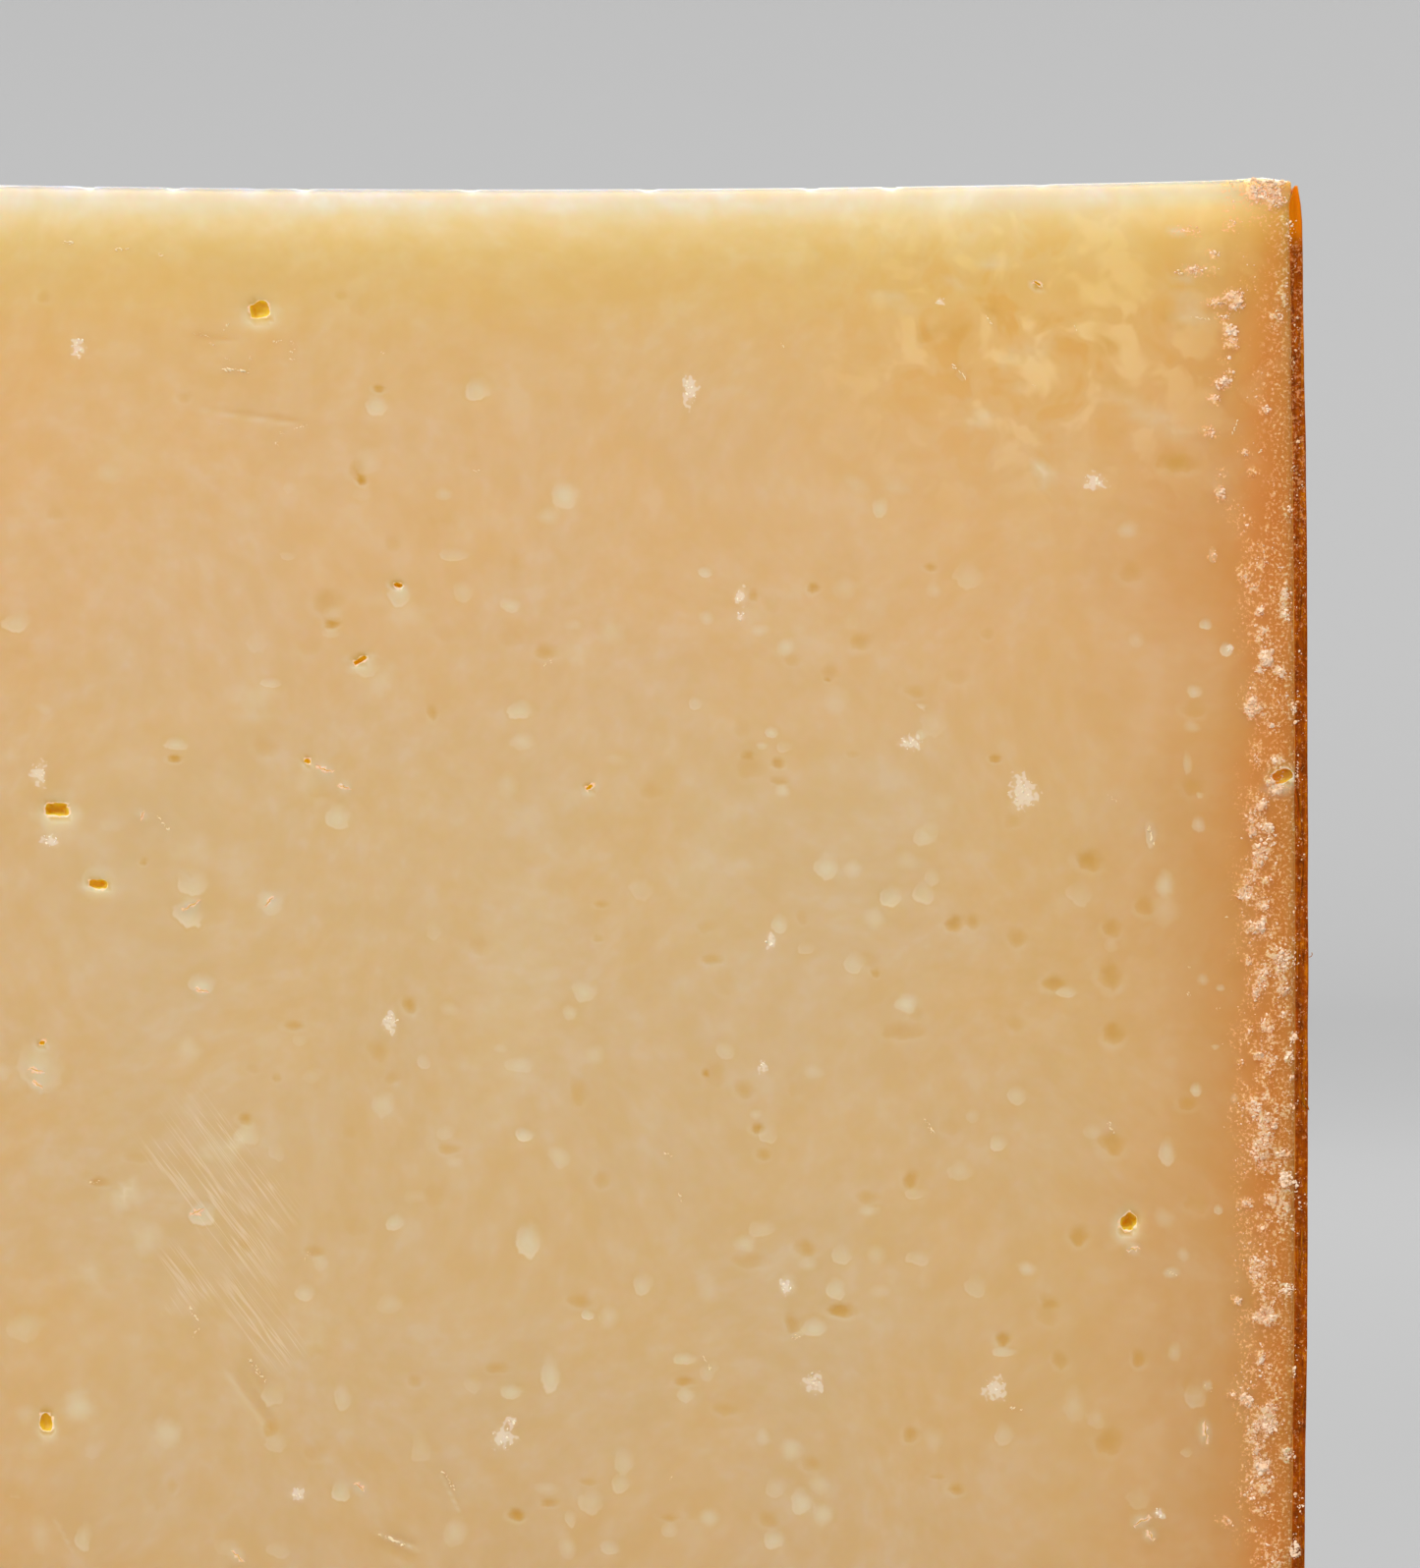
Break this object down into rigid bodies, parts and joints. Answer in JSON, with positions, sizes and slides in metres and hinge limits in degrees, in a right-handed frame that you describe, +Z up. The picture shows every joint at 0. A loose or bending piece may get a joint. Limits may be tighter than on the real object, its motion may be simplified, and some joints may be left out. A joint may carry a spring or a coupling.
{
  "type": "gouda cheese slab",
  "caption": "Upright slab of aged gouda cut through the full height of a wheel, with coated rind on both sides and small eyes in its cut faces.",
  "frame": {"origin": "centre of the bottom face of the slab's bounding box", "axes": "+Z up, -Y out of the front cut face, +X towards the rind on the right"},
  "size_m": [0.118, 0.052, 0.128],
  "materials": {
    "paste": "smooth, faintly waxy cut cheese"
  },
  "bodies": {
    "root": {"cheese": "paste"}
  },
  "joints": []
}
